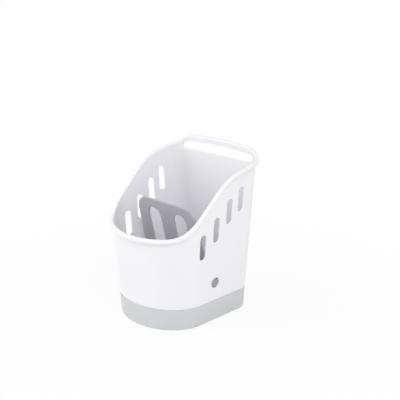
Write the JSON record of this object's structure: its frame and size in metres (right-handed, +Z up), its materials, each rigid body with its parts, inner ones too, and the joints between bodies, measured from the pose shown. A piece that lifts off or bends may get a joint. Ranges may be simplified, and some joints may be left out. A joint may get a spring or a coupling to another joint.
{
  "type": "kitchen sink caddy",
  "caption": "Open sink caddy with a low round front, a high arched rear with a hanging slot, slotted sides, a tilting divider and a lift-off drip tray.",
  "frame": {"origin": "on the worktop, below the middle of the caddy's overall box", "axes": "+X to the caddy's right seen from its low round front, +Y towards the high flat rear, +Z up"},
  "size_m": [0.126, 0.1281, 0.1689],
  "materials": {
    "shell_plastic": "satin white moulded polypropylene",
    "tray_plastic": "satin light grey moulded plastic",
    "divider_plastic": "satin mid-grey moulded plastic",
    "foot_rubber": "soft matt grey"
  },
  "bodies": {
    "tray": {"base_tray": "tray_plastic", "foot_front_left": "foot_rubber", "foot_front_right": "foot_rubber", "foot_rear_left": "foot_rubber", "foot_rear_right": "foot_rubber"},
    "shell": {"body_shell": "shell_plastic", "drain_floor": "shell_plastic"},
    "divider": {"divider": "divider_plastic", "pivot_pin_left": "divider_plastic", "pivot_pin_right": "divider_plastic"}
  },
  "joints": [
    {"name": "shell_lift", "type": "slide", "parent": "tray", "child": "shell", "axis": [0, 0, 1], "range_m": [0, 0.04]},
    {"name": "divider_tilt", "type": "hinge", "parent": "shell", "child": "divider", "pos_m": [0, 0.0031, 0.0417], "axis": [-1, 0, 0], "range_deg": [0, 27]}
  ]
}
